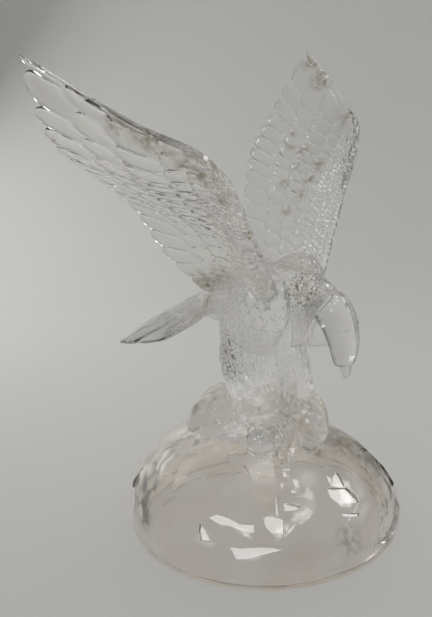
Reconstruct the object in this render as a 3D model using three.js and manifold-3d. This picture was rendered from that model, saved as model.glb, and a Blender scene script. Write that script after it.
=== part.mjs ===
// Pressed crystal eagle alighting on a faceted rock with a hollow underside.
// Millimetres, +Z up. The eagle faces -Y and its left wing is on +X.
import * as THREE from 'three';
import { mergeVertices } from 'three/addons/utils/BufferGeometryUtils.js';
import Module from 'manifold-3d';

// Rock
const BASE_RADIUS = 76;
const FOOT_RIM = 3;
const DOME_HEIGHT = 54;
const DOME_LEAN = [-4, 8];
const DOME_FACETS = 108;
const LOWEST_FACET = 0.1;
const CRAG_RADIUS_X = 33;
const CRAG_RADIUS_Y = 36;
const CRAG_RISE = 24;
const CRAG_OFFSET = [5, 15];
const CRAG_FACETS = 38;
const FACET_JITTER = 1.2;

// The rock's mould opened in quarters, and each quarter was cut with its own facets
const MOULD_QUARTERS = 4;
const SEAM_TURN = Math.PI / 4 - 0.1;
const SEAM_LAP = 0.1;
const DOME_SEED = 7;
const CRAG_SEED = 3;
const DRUM_SIDES = 60;

// Hollow under the rock
const WALL = 8;
const CROWN = 12;
const HOLLOW_SIDES = 36;
const HOLLOW_STEPS = 5;

// Eagle, measured from the ledge that its feet grip, a little under the dome's top, to its wing tips
const LEDGE_DROP = 4;
const LEDGE_HEIGHT = DOME_HEIGHT - LEDGE_DROP;
const CRAG_HEIGHT = LEDGE_HEIGHT + CRAG_RISE;
const EAGLE_HEIGHT = 206;

// Feathers
const FLIGHT_FEATHERS = 14;
const TAIL_FEATHERS = 7;
const FEATHER_RELIEF = 1.1;

// Thicknesses of the blades
const WING_ROOT_THICKNESS = 12;
const WING_TIP_THICKNESS = 3.6;
const WING_EDGE_THICKNESS = 2.6;
const TAIL_ROOT_THICKNESS = 9;
const TAIL_EDGE_THICKNESS = 2.8;
const WEB_THICKNESS = 3.2;

const wasm = await Module();
wasm.setup();

// The eagle's points below are those of a 206 mm eagle and grow with it
const SCALE = EAGLE_HEIGHT / 206;

function eaglePoint(x, y, z) {
  return new THREE.Vector3(x * SCALE, y * SCALE, LEDGE_HEIGHT + z * SCALE);
}

// Solids
function solidOf(geometry) {
  const bare = geometry.clone();
  bare.deleteAttribute('normal');
  bare.deleteAttribute('uv');
  const merged = mergeVertices(bare, 1e-4);
  return new wasm.Manifold(new wasm.Mesh({
    numProp: 3,
    vertProperties: new Float32Array(merged.attributes.position.array),
    triVerts: new Uint32Array(merged.index.array),
  }));
}

function geometryOf(solid) {
  const mesh = solid.getMesh();
  const geometry = new THREE.BufferGeometry();
  geometry.setAttribute('position', new THREE.BufferAttribute(new Float32Array(mesh.vertProperties), 3));
  geometry.setIndex(new THREE.BufferAttribute(new Uint32Array(mesh.triVerts), 1));
  return geometry;
}

function joined(solids) {
  return solids.reduce((whole, solid) => whole.add(solid));
}

function indexed(points, triangles) {
  const geometry = new THREE.BufferGeometry();
  geometry.setFromPoints(points);
  geometry.setIndex(triangles.flat());
  return geometry;
}

// A closed skin over rings of points that each run the same way round
function skinOver(rings) {
  const count = rings[0].length;
  const points = rings.flat();
  const triangles = [];
  for (let ring = 0; ring < rings.length - 1; ring += 1) {
    for (let i = 0; i < count; i += 1) {
      const next = (i + 1) % count;
      const [a, b] = [ring * count + i, ring * count + next];
      const [c, d] = [a + count, b + count];
      triangles.push([a, b, d], [a, d, c]);
    }
  }
  const firstCentre = centreOf(rings[0]);
  const lastCentre = centreOf(rings[rings.length - 1]);
  const last = (rings.length - 1) * count;
  points.push(firstCentre, lastCentre);
  for (let i = 0; i < count; i += 1) {
    const next = (i + 1) % count;
    triangles.push([points.length - 2, next, i]);
    triangles.push([points.length - 1, last + i, last + next]);
  }
  return solidOf(indexed(points, triangles));
}

function centreOf(ring) {
  const centre = new THREE.Vector3();
  ring.forEach((point) => centre.add(point));
  return centre.divideScalar(ring.length);
}

// A limb round a row of stations [x, y, z, half width, half depth], its rings square to its path
function limb(stations, sides) {
  const centres = stations.map(([x, y, z]) => eaglePoint(x, y, z));
  const rings = centres.map((centre, i) => {
    const before = centres[Math.max(0, i - 1)];
    const after = centres[Math.min(centres.length - 1, i + 1)];
    const along = after.clone().sub(before).normalize();
    const across = new THREE.Vector3(1, 0, 0).addScaledVector(along, -along.x).normalize();
    const deep = along.clone().cross(across);
    const [, , , width, depth] = stations[i];
    return Array.from({ length: sides }, (_, k) => {
      const turn = (k / sides) * Math.PI * 2;
      return centre.clone()
        .addScaledVector(across, Math.cos(turn) * width * SCALE)
        .addScaledVector(deep, Math.sin(turn) * depth * SCALE);
    });
  });
  return skinOver(rings);
}

function lump(x, y, z, rx, ry, rz, sides = 12) {
  const geometry = new THREE.SphereGeometry(1, sides, Math.ceil(sides * 0.6));
  geometry.scale(rx * SCALE, ry * SCALE, rz * SCALE);
  const centre = eaglePoint(x, y, z);
  geometry.translate(centre.x, centre.y, centre.z);
  return solidOf(geometry);
}

// Rock: a block cut by planes that touch an ellipsoid, so that flat irregular facets are left
function randomSource(seed) {
  let state = seed;
  return () => {
    state = (state + 0x6d2b79f5) | 0;
    let mixed = Math.imul(state ^ (state >>> 15), 1 | state);
    mixed = (mixed + Math.imul(mixed ^ (mixed >>> 7), 61 | mixed)) ^ mixed;
    return ((mixed ^ (mixed >>> 14)) >>> 0) / 4294967296;
  };
}

function faceted(block, form, count, lowest, seed, keeps = () => true) {
  const random = randomSource(seed);
  const goldenTurn = Math.PI * (3 - Math.sqrt(5));
  const { centre, radii, lean } = form;
  const stretch = new THREE.Matrix3().set(radii.x, 0, lean[0], 0, radii.y, lean[1], 0, 0, radii.z);
  const toNormal = stretch.clone().invert().transpose();
  const toReach = stretch.clone().transpose();
  let rock = block;
  for (let i = 0; i < count; i += 1) {
    const step = (i + random()) / count;
    const height = Math.min(THREE.MathUtils.lerp(lowest, 1, step), 0.999);
    const turn = i * goldenTurn + (random() - 0.5) * 0.25;
    const inset = random() * FACET_JITTER * Math.max(height, 0);
    const around = Math.sqrt(1 - height * height);
    const touch = new THREE.Vector3(Math.cos(turn) * around, Math.sin(turn) * around, height);
    if (keeps(touch)) {
      const normal = touch.clone().applyMatrix3(toNormal).normalize();
      const reach = normal.clone().applyMatrix3(toReach).length();
      const inward = normal.clone().negate();
      rock = rock.trimByPlane(inward.toArray(), inset - normal.dot(centre) - reach);
    }
  }
  return rock;
}

function makeDomeQuarter(drum, quarter) {
  const span = (Math.PI * 2) / MOULD_QUARTERS;
  const from = SEAM_TURN + quarter * span;
  const to = from + span;
  const wedge = drum
    .trimByPlane([-Math.sin(from), Math.cos(from), 0], -SEAM_LAP)
    .trimByPlane([Math.sin(to), -Math.cos(to), 0], -SEAM_LAP);
  const form = {
    centre: new THREE.Vector3(0, 0, FOOT_RIM),
    radii: new THREE.Vector3(BASE_RADIUS, BASE_RADIUS, DOME_HEIGHT - FOOT_RIM),
    lean: DOME_LEAN,
  };
  const inQuarter = (touch) => {
    const turn = THREE.MathUtils.euclideanModulo(Math.atan2(touch.y, touch.x) - from, Math.PI * 2);
    return turn < span;
  };
  return faceted(wedge, form, DOME_FACETS, LOWEST_FACET, DOME_SEED + quarter, inQuarter);
}

function makeRock() {
  const drum = new THREE.CylinderGeometry(BASE_RADIUS, BASE_RADIUS, DOME_HEIGHT, DRUM_SIDES);
  drum.rotateX(Math.PI / 2);
  drum.translate(0, 0, DOME_HEIGHT / 2);
  const block = solidOf(drum);
  const quarters = [];
  for (let quarter = 0; quarter < MOULD_QUARTERS; quarter += 1) {
    quarters.push(makeDomeQuarter(block, quarter));
  }
  return joined([...quarters, makeCrag()]);
}

function makeCrag() {
  const [cragX, cragY] = CRAG_OFFSET;
  const block = new THREE.BoxGeometry(CRAG_RADIUS_X * 2, CRAG_RADIUS_Y * 2, CRAG_HEIGHT);
  block.translate(cragX, cragY, CRAG_HEIGHT / 2);
  const form = {
    centre: new THREE.Vector3(cragX, cragY, CRAG_HEIGHT / 2),
    radii: new THREE.Vector3(CRAG_RADIUS_X, CRAG_RADIUS_Y, CRAG_HEIGHT / 2),
    lean: [0, 0],
  };
  return faceted(solidOf(block), form, CRAG_FACETS, 0, CRAG_SEED);
}

function makeHollow() {
  const radius = BASE_RADIUS - WALL;
  const height = DOME_HEIGHT - CROWN;
  const outline = [new THREE.Vector2(0, -FOOT_RIM), new THREE.Vector2(radius, -FOOT_RIM)];
  for (let i = 0; i < HOLLOW_STEPS; i += 1) {
    const turn = (i / HOLLOW_STEPS) * (Math.PI / 2);
    outline.push(new THREE.Vector2(radius * Math.cos(turn), height * Math.sin(turn)));
  }
  outline.push(new THREE.Vector2(0, height));
  const lathe = new THREE.LatheGeometry(outline, HOLLOW_SIDES);
  lathe.rotateX(Math.PI / 2);
  return solidOf(lathe);
}

// Wings
const LEADING_EDGE = [
  [27.3, -25, 88.3], [44.1, -24.9, 116.3], [58.4, -24.8, 142.4],
  [77.1, -21.1, 158.8], [96.1, -2.3, 171.8], [119.7, 34.5, 200.6],
];
const TRAILING_EDGE = [
  [17.8, 23.3, 82.4], [37.6, 33.1, 106.9], [51.5, 39.7, 130.5],
  [69.8, 46.2, 147.6], [95.3, 47, 166], [117.9, 38.8, 197.1],
];
const WRIST = 0.6;
const WING_CAMBER = 5;
const WING_NOSE = 0.12;
const RIGHT_WING_LIFT = 5.7;
const WING_ROOT_REACH = [-15, 0, -9];

// Shares of the span past which the trailing edge runs into the tip, and the blade thins to the hand
const TIP_CLOSES = 0.9;
const HAND_THINS = 0.94;
const HAND_THINNING = 0.6;

// Columns across one feather: the groove beside it, then its near side, its shaft and its far side
const COLUMNS_PER_FEATHER = [0, 0.16, 0.5, 0.84];
const STEP_BEHIND_TIPS = 0.008;

// Rows of feathers from the leading edge back: where a row ends along the chord, how deep its tips
// are notched, and by how much of a feather it is shifted
const WING_ROWS = [
  { end: 0.13, notch: 0.03, shift: 0, middle: 0.4 },
  { end: 0.25, notch: 0.04, shift: 0.5 },
  { end: 0.42, notch: 0.05, shift: 0 },
  { end: 0.7, notch: 0.05, shift: 0 },
  { end: 1, notch: 0.06, shift: 0 },
];
const TAIL_ROWS = [{ end: 1, notch: 0.08, shift: 0, middle: 0.5 }];

function edgeCurve(points) {
  return new THREE.CatmullRomCurve3(points.map(([x, y, z]) => eaglePoint(x, y, z)), false, 'centripetal');
}

// A sheet between four edges: the leading edge to the wrist, the hand, the trailing edge and the root
function wingSheet(leading, trailing) {
  const rootFront = leading.getPoint(0);
  const rootBack = trailing.getPoint(0);
  const wrist = leading.getPoint(WRIST);
  const tip = leading.getPoint(1);
  return (span, chord) => {
    const front = leading.getPoint(span * WRIST);
    const back = trailing.getPoint(span).lerp(tip, THREE.MathUtils.smoothstep(span, TIP_CLOSES, 1));
    const inner = rootFront.clone().lerp(rootBack, chord);
    const outer = leading.getPoint(WRIST + (1 - WRIST) * chord);
    const point = front.clone().lerp(back, chord).add(inner.clone().lerp(outer, span));
    const corners = rootFront.clone().lerp(wrist, span).lerp(rootBack.clone().lerp(tip, span), chord);
    return point.sub(corners);
  };
}

// How full a feather is across its width: 0 in the groove beside it, 1 over most of its width
function fullness(share) {
  const across = share - Math.floor(share);
  return Math.min(1, Math.min(across, 1 - across) / COLUMNS_PER_FEATHER[1]);
}

// Where a row of rounded feather tips ends at a share of a feather's width
function tipLine(row, share) {
  const across = share + row.shift - Math.floor(share + row.shift);
  const fromMiddle = Math.abs(across - 0.5) * 2;
  return row.end - row.notch * (1 - Math.sqrt(1 - fromMiddle * fromMiddle));
}

// Places along one column of a feathered blade, each with how proud the surface is there
function columnStops(rows, share) {
  const stops = [];
  let start = 0;
  rows.forEach((row, index) => {
    const end = tipLine(row, share);
    const full = fullness(share + row.shift);
    const stop = (along) => ({
      along: THREE.MathUtils.lerp(start, end, along),
      proud: FEATHER_RELIEF * (0.35 + 0.65 * along) * (0.3 + 0.7 * full),
    });
    stops.push({ along: index === 0 ? 0 : start + STEP_BEHIND_TIPS, proud: 0 });
    if (row.middle) stops.push(stop(row.middle));
    stops.push(stop(1));
    start = end;
  });
  return stops;
}

// A blade of two feathered faces over a sheet(side, along) with a thickness at each place
function feathered(sheet, rows, feathers, thicknessAt, camberAt, rootShift, handed) {
  const shares = [];
  for (let feather = 0; feather < feathers; feather += 1) {
    COLUMNS_PER_FEATHER.forEach((part) => shares.push(feather + part));
  }
  shares.push(feathers);
  const step = 1e-3;
  const place = (side, along) => {
    const here = sheet(side, along);
    const sideways = sheet(Math.min(1, side + step), along).sub(sheet(Math.max(0, side - step), along));
    const lengthways = sheet(side, Math.min(1, along + step)).sub(sheet(side, Math.max(0, along - step)));
    const normal = sideways.cross(lengthways).normalize();
    return { here: here.addScaledVector(normal, camberAt(side, along)), normal };
  };
  const columns = shares.map((share) => {
    const side = share / feathers;
    return columnStops(rows, share).map(({ along, proud }) => {
      const { here, normal } = place(side, along);
      const fading = Math.min(1, along * 12, (1 - side) * 16);
      const half = thicknessAt(side, along) / 2 + proud * fading;
      const upper = here.clone().addScaledVector(normal, half);
      return { upper, lower: here.addScaledVector(normal, -half) };
    });
  });
  if (rootShift) {
    columns.unshift(columns[0].map(({ upper, lower }) => ({
      upper: upper.clone().add(rootShift),
      lower: lower.clone().add(rootShift),
    })));
  }
  return bladeOf(columns, handed);
}

function bladeOf(columns, handed) {
  const stops = columns[0].length;
  const points = [];
  columns.forEach((column) => column.forEach(({ upper }) => points.push(upper)));
  columns.forEach((column) => column.forEach(({ lower }) => points.push(lower)));
  points.forEach((point) => point.setX(point.x * handed));
  const count = columns.length * stops;
  const at = (column, stop) => column * stops + stop;
  const triangles = [];
  const quad = (a, b, c, d) => {
    if (handed > 0) triangles.push([a, b, c], [a, c, d]);
    else triangles.push([a, c, b], [a, d, c]);
  };
  for (let i = 0; i < columns.length - 1; i += 1) {
    for (let j = 0; j < stops - 1; j += 1) {
      quad(at(i, j), at(i + 1, j), at(i + 1, j + 1), at(i, j + 1));
      quad(count + at(i, j), count + at(i, j + 1), count + at(i + 1, j + 1), count + at(i + 1, j));
    }
    quad(at(i, stops - 1), at(i + 1, stops - 1), count + at(i + 1, stops - 1), count + at(i, stops - 1));
    quad(count + at(i, 0), count + at(i + 1, 0), at(i + 1, 0), at(i, 0));
  }
  const last = columns.length - 1;
  for (let j = 0; j < stops - 1; j += 1) {
    quad(at(0, j), at(0, j + 1), count + at(0, j + 1), count + at(0, j));
    quad(at(last, j + 1), at(last, j), count + at(last, j), count + at(last, j + 1));
  }
  return mergedSolid(points, triangles);
}

// Faces that share an edge at the nose of a blade fold flat there and are dropped
function mergedSolid(points, triangles) {
  const merged = mergeVertices(indexed(points, triangles), 1e-4);
  const index = Array.from(merged.index.array);
  const kept = [];
  for (let i = 0; i < index.length; i += 3) {
    const [a, b, c] = index.slice(i, i + 3);
    if (a !== b && b !== c && a !== c) kept.push(a, b, c);
  }
  merged.setIndex(kept);
  return solidOf(merged);
}

function makeWing(handed, lift) {
  const raise = (point) => {
    const [, , rootZ] = LEADING_EDGE[0];
    const [, , tipZ] = LEADING_EDGE[LEADING_EDGE.length - 1];
    const out = THREE.MathUtils.clamp((point[2] - rootZ) / (tipZ - rootZ), 0, 1);
    return [point[0], point[1], point[2] + lift * out * (1 + out) / 2];
  };
  const sheet = wingSheet(edgeCurve(LEADING_EDGE.map(raise)), edgeCurve(TRAILING_EDGE.map(raise)));
  const thicknessAt = (side, along) => {
    const out = side * (WRIST + (1 - WRIST) * along);
    const full = THREE.MathUtils.lerp(WING_ROOT_THICKNESS, WING_TIP_THICKNESS, Math.pow(out, 0.7));
    const nose = Math.min(1, along / WING_NOSE);
    const outer = 1 - HAND_THINNING * THREE.MathUtils.smoothstep(side, HAND_THINS, 1);
    const rounded = Math.sqrt(1 - (1 - nose) ** 2);
    return rounded * outer * THREE.MathUtils.lerp(full, WING_EDGE_THICKNESS, along);
  };
  const camberAt = (side, along) => WING_CAMBER * SCALE * Math.sin(Math.PI * along) * (1 - 0.5 * side);
  const rootShift = new THREE.Vector3(...WING_ROOT_REACH).multiplyScalar(SCALE);
  return feathered(sheet, WING_ROWS, FLIGHT_FEATHERS, thicknessAt, camberAt, rootShift, handed);
}

// Tail: a fan that arches down at its sides and is rounded at its end
const TAIL_ROOT = { y: 24, z: 79, halfWidth: 10 };
const TAIL_END = { y: 98.5, z: 37, halfWidth: 28 };
const TAIL_ROUNDING = 0.32;
const TAIL_BOW = 3;
const TAIL_DROOP = 14.6;

function makeTail() {
  const sheet = (side, along) => {
    const out = 2 * side - 1;
    const reach = along * (1 - TAIL_ROUNDING * out * out);
    const x = out * THREE.MathUtils.lerp(TAIL_ROOT.halfWidth, TAIL_END.halfWidth, Math.pow(reach, 0.45));
    const y = THREE.MathUtils.lerp(TAIL_ROOT.y, TAIL_END.y, reach);
    const z = THREE.MathUtils.lerp(TAIL_ROOT.z, TAIL_END.z, reach) + TAIL_BOW * Math.sin(Math.PI * reach);
    return eaglePoint(x, y, z - TAIL_DROOP * (x / TAIL_END.halfWidth) ** 2);
  };
  const thicknessAt = (side, along) => {
    const edge = THREE.MathUtils.lerp(TAIL_ROOT_THICKNESS, TAIL_EDGE_THICKNESS, Math.pow(along, 0.7));
    return edge * (1 - 0.3 * Math.abs(2 * side - 1) ** 4);
  };
  return feathered(sheet, TAIL_ROWS, TAIL_FEATHERS, thicknessAt, () => 0, null, 1);
}

// Body parts as stations [x, y, z, half width, half depth]
const TRUNK = [
  [0, -4, 92, 9, 9], [0, -2, 84, 17, 16], [0, 0, 74, 20.5, 19.5], [0, 1, 62, 21.5, 21],
  [0, 1, 50, 20.5, 20], [0, -1, 38, 19, 17], [0, -6, 26, 16, 14], [0, -9, 16, 12, 11],
];
const NECK = [
  [0, -47, 71, 8.4, 9.4], [0, -41, 77.5, 9.8, 10.2], [0, -31, 83, 11.5, 11.5],
  [0, -20, 85, 13, 12.5], [0, -8, 83, 16, 14.5], [0, 4, 80, 16, 14.5], [0, 12, 76, 12, 11],
];
const RUMP = [
  [0, 2, 78, 15, 14], [0, 14, 74, 16, 13], [0, 26, 71, 13, 9.5], [0, 38, 68, 10, 5],
];
const SHOULDER = [
  [13, -8, 93, 4, 6], [17, -10, 87, 10, 12], [19, -10, 79, 12.5, 15], [17.5, -7, 67, 12, 15],
  [15, -4, 55, 9, 11],
];
const HEAD = [
  [0, -41, 78, 6.5, 7], [0, -45.5, 73, 8.6, 9.2], [0, -48, 66, 8.2, 8.8], [0, -49.2, 60, 7.5, 7.9],
  [0, -49.4, 54, 6.2, 6.4], [0, -49.2, 50.5, 4.8, 4.6], [0, -49.2, 49, 2.6, 2.6],
];
const BEAK = [
  [0, -49.6, 53, 3.4, 3.8], [0, -50.2, 49, 2.8, 3.4], [0, -50.6, 45.6, 2.1, 2.6],
  [0, -49.8, 43, 1.4, 1.7], [0, -48.2, 41.4, 0.5, 0.6],
];
const LEG = [
  [15, 0, 62, 10, 13], [16.5, -1, 50, 12, 15], [17, -4, 38, 12, 14.5], [17.3, -8, 26, 11, 13],
  [17.5, -12, 15, 9, 11], [17.5, -14, 6, 7.5, 9], [17.5, -15, -4, 6, 7],
];
const TOE = [
  [-1, -10, 12, 3.2, 3.4], [-2, -19, 14, 3.9, 4.2], [-3, -23.5, 9, 3.9, 4.2], [-3, -25.5, 3, 3.4, 3.6],
  [-3, -26, -2.5, 2.1, 2.4], [-3, -25, -6.5, 0.7, 0.8],
];
const TOE_SPREAD = 8;
const WEB = [[-14, 80], [-44, 74], [-45, 58.5], [-14, 52]];

// A feathered limb: rows of tufts whose tips are staggered and stand proud of the row below. A tip
// reaches to TUFT_TIP of its row and the groove between two tufts to TUFT_GROOVE
const TUFT_TIP = 1.1;
const TUFT_GROOVE = 0.72;

function plumed(stations, sides, rows, proud) {
  const path = new THREE.CatmullRomCurve3(stations.map(([x, y, z]) => new THREE.Vector3(x, y, z)));
  const girth = new THREE.CatmullRomCurve3(stations.map(([, , , w, d], i) => new THREE.Vector3(w, d, i)));
  const ringAt = (share, k, swell) => {
    const kept = THREE.MathUtils.clamp(share, 0, 1);
    const along = path.getTangent(kept);
    const across = new THREE.Vector3(1, 0, 0).addScaledVector(along, -along.x).normalize();
    const deep = along.clone().cross(across);
    const size = girth.getPoint(kept);
    const turn = (k / sides) * Math.PI * 2;
    const point = path.getPoint(kept)
      .addScaledVector(across, Math.cos(turn) * (size.x + swell))
      .addScaledVector(deep, Math.sin(turn) * (size.y + swell));
    return eaglePoint(point.x, point.y, point.z);
  };
  const ring = (shareOf, swellOf) => {
    const places = Array.from({ length: sides }, (_, k) => k);
    return places.map((k) => ringAt(shareOf(k), k, swellOf(k)));
  };
  const rings = [ring(() => 0, () => 0)];
  for (let row = 0; row < rows; row += 1) {
    const isTip = (k) => (k + row) % 2 === 0;
    const tipShare = (k) => (row + (isTip(k) ? TUFT_TIP : TUFT_GROOVE)) / (rows + 0.4);
    rings.push(ring(tipShare, (k) => (isTip(k) ? proud : 0.5 * proud)));
    rings.push(ring((k) => tipShare(k) + 0.06 / rows, () => -0.3 * proud));
  }
  rings.push(ring(() => 1, () => 0));
  return skinOver(rings);
}

function makeFoot(side) {
  const [ankleX] = LEG[LEG.length - 1];
  const toes = [-TOE_SPREAD, 0, TOE_SPREAD].map((spread) => {
    const stations = TOE.map(([x, y, z, w, d]) => {
      const fanned = spread * THREE.MathUtils.clamp((-y - 4) / 20, 0.4, 1);
      return [side * (ankleX + x) + fanned, y, z, w, d];
    });
    return limb(stations, 6);
  });
  return joined(toes);
}

function onSide(side, stations) {
  return stations.map(([x, y, z, w, d]) => [side * x, y, z, w, d]);
}

function makeLeg(side) {
  return plumed(onSide(side, LEG), 12, 5, FEATHER_RELIEF);
}

function makeShoulder(side) {
  return plumed(onSide(side, SHOULDER), 12, 3, FEATHER_RELIEF);
}

// The flat web of glass that joins the bent head to the breast
function makeWeb() {
  const outline = new THREE.Shape(WEB.map(([y, z]) => new THREE.Vector2(y, z)));
  const geometry = new THREE.ExtrudeGeometry(outline, { depth: WEB_THICKNESS, bevelEnabled: false });
  geometry.translate(0, 0, -WEB_THICKNESS / 2);
  const position = geometry.attributes.position;
  for (let i = 0; i < position.count; i += 1) {
    const moved = eaglePoint(0, position.getX(i), position.getY(i));
    position.setXYZ(i, position.getZ(i), moved.y, moved.z);
  }
  return solidOf(geometry);
}

function makeHead() {
  const skull = limb(HEAD, 14);
  const beak = limb(BEAK, 10);
  const eyes = [-1, 1].map((side) => lump(side * 7, -51, 67, 1.7, 2, 1.8, 6));
  const brows = [-1, 1].map((side) => lump(side * 5.6, -50.5, 70.5, 3, 4.2, 1.8, 6));
  return joined([skull, beak, ...eyes, ...brows]);
}

function makeEagle() {
  return joined([
    plumed(TRUNK, 14, 6, FEATHER_RELIEF),
    plumed(NECK, 14, 6, FEATHER_RELIEF * 0.8),
    plumed(RUMP, 12, 3, FEATHER_RELIEF),
    makeLeg(1),
    makeLeg(-1),
    makeFoot(1),
    makeFoot(-1),
    makeShoulder(1),
    makeShoulder(-1),
    makeHead(),
    makeWeb(),
    makeTail(),
    makeWing(1, 0),
    makeWing(-1, RIGHT_WING_LIFT),
  ]);
}

// Smooth knobs of rock: one between the feet and one beside the right foot
function makeKnobs() {
  const between = lump(4, -20, 7, 12.5, 12, 12.5, 14);
  const beside = lump(-24, -13, 6, 8, 8.5, 9.5, 10);
  return between.add(beside);
}

const figurine = joined([makeRock(), makeKnobs(), makeEagle()]).subtract(makeHollow());
const geometry = geometryOf(figurine);
geometry.computeBoundingBox();
const middle = geometry.boundingBox.getCenter(new THREE.Vector3());
geometry.translate(-middle.x, -middle.y, -geometry.boundingBox.min.z);

const crystal = new THREE.MeshStandardMaterial({ color: 0xdcdad4, roughness: 0.05, metalness: 0 });
const eagle = new THREE.Mesh(geometry, crystal);
eagle.name = 'crystal_eagle';

const group = new THREE.Group();
group.add(eagle);
export default group;
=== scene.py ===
# Pressed crystal eagle alighting on a faceted rock, one clear casting on a pale sweep.
# Metres, +Z up. The eagle faces -Y and its left wing is on +X.
import math

import bpy
import numpy as np
from mathutils import Matrix, Vector


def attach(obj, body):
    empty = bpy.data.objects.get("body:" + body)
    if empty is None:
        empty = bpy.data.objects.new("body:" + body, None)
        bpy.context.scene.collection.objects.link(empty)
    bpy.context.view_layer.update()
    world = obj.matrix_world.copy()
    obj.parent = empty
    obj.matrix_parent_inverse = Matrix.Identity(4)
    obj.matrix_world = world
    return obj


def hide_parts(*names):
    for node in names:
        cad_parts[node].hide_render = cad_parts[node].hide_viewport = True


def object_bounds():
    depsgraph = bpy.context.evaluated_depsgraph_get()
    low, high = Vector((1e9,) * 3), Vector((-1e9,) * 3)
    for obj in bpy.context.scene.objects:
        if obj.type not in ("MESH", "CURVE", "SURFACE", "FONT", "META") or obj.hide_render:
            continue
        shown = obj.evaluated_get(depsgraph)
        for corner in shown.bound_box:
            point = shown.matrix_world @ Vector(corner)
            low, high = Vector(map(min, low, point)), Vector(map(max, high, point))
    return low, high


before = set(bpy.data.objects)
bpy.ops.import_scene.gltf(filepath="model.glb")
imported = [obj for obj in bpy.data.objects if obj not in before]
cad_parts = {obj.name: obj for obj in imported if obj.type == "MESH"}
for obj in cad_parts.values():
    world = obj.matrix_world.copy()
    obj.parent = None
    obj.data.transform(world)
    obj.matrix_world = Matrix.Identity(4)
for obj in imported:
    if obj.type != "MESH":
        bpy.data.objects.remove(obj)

cad_low, cad_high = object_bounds()

# Rock
BASE_RADIUS = 0.076
FOOT_RIM = 0.003
DOME_HEIGHT = 0.054
DOME_LEAN = (-0.004, 0.008)
DOME_FACETS = 108
LOWEST_FACET = 0.1
MOULD_QUARTERS = 4
SEAM_TURN = math.pi / 4 - 0.1
SEAM_LAP = 0.0001
DOME_SEEDS = (7, 699, 405, 10)
GLEAM_DEPTH = 0.001
GLEAM_DRAFT = 1.25
GLEAM_REACH = 0.003
CRAG_RADII = (0.033, 0.036, 0.037)
CRAG_OFFSET = (0.005, 0.015)
CRAG_FACETS = 38
CRAG_SEED = 3
FACET_JITTER = 0.0006
FACET_SOFTENING = 0.0005

# Flat facets that catch the windows: their corners in millimetres, seen from above
GLEAMS = [
    [(-36.2, -10.4), (-37.6, -12.9), (-40.5, -17.1), (-42.9, -18.9), (-43.6, -16.7), (-42.2, -14.1),
     (-38.8, -11.3)],
    [(-26.6, -28.1), (-24.6, -31.1), (-28.6, -34.8), (-33.2, -39.6), (-35.4, -36.0), (-35.3, -33.3)],
    [(-41.3, -37.0), (-39.4, -40.8), (-37.4, -44.2), (-40.4, -42.7), (-44.2, -39.2)],
    [(-9.8, -48.5), (-4.7, -48.2), (-5.8, -50.8), (-8.4, -54.2), (-16.9, -49.1), (-12.9, -49.7)],
    [(-18.5, -49.7), (-14.9, -52.2), (-9.0, -55.7), (-8.3, -61.1), (-9.2, -62.3), (-19.4, -57.3),
     (-20.9, -53.0)],
    [(-64.9, -7.0), (-62.6, -10.0), (-61.4, -16.0), (-60.6, -22.8), (-57.5, -29.0), (-59.6, -30.2),
     (-61.9, -25.1), (-63.3, -18.7), (-64.9, -13.8)],
    [(-52.8, -32.0), (-49.7, -35.2), (-47.5, -40.0), (-51.9, -42.4), (-54.7, -38.0), (-55.0, -34.6)],
    [(-68.0, -3.9), (-68.8, -7.2), (-70.5, -11.5), (-71.6, -6.6), (-69.9, -4.5)],
    [(-68.3, -21.6), (-66.6, -26.4), (-61.6, -34.8), (-55.7, -44.1), (-60.1, -39.6), (-66.1, -31.7),
     (-69.3, -25.7), (-68.8, -23.3)],
    [(-21.9, -59.9), (-13.3, -65.0), (-15.2, -65.2), (-22.6, -61.0)],
]

# Hollow under the rock
WALL = 0.008
CROWN = 0.012

# Eagle, in millimetres over the ledge that its feet grip
MM = 0.001
LEDGE_HEIGHT = 0.050
BASE_CENTRE = Vector((0, cad_low.y + BASE_RADIUS, 0))
FLIGHT_FEATHERS = 15
TAIL_FEATHERS = 7
FEATHER_RELIEF = 0.6


def eagle_points(points):
    """Places in millimetres on the eagle, as metres in the part's frame."""
    return np.asarray(points) * MM + [0, BASE_CENTRE.y, LEDGE_HEIGHT]


# Starting, finishing and joining pieces
def start(add, **settings):
    bpy.ops.object.select_all(action="DESELECT")
    add(**settings)
    return bpy.context.object


def vertex_places(piece):
    places = np.empty(len(piece.data.vertices) * 3)
    piece.data.vertices.foreach_get("co", places)
    return places.reshape(-1, 3)


def put_vertices(piece, places):
    piece.data.vertices.foreach_set("co", np.ascontiguousarray(places, dtype=float).ravel())
    piece.data.update()


def finish_with(piece, kind, **settings):
    bpy.ops.object.select_all(action="DESELECT")
    piece.select_set(True)
    bpy.context.view_layer.objects.active = piece
    modifier = piece.modifiers.new(kind.title(), kind)
    for name, value in settings.items():
        setattr(modifier, name, value)
    bpy.ops.object.modifier_apply(modifier=modifier.name)


def in_edit_mode(piece, work):
    bpy.ops.object.select_all(action="DESELECT")
    piece.select_set(True)
    bpy.context.view_layer.objects.active = piece
    bpy.ops.object.mode_set(mode="EDIT")
    bpy.ops.mesh.select_all(action="SELECT")
    work()
    bpy.ops.object.mode_set(mode="OBJECT")


def settle(piece):
    """Put the object at the origin, with its place in its mesh."""
    bpy.ops.object.select_all(action="DESELECT")
    piece.select_set(True)
    bpy.context.view_layer.objects.active = piece
    bpy.ops.object.transform_apply(location=True, rotation=True, scale=True)


def weld(piece, gap=0.00002):
    def work():
        bpy.ops.mesh.remove_doubles(threshold=gap)
        bpy.ops.mesh.dissolve_degenerate(threshold=gap / 4)
        bpy.ops.mesh.normals_make_consistent(inside=False)
    in_edit_mode(piece, work)


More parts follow.
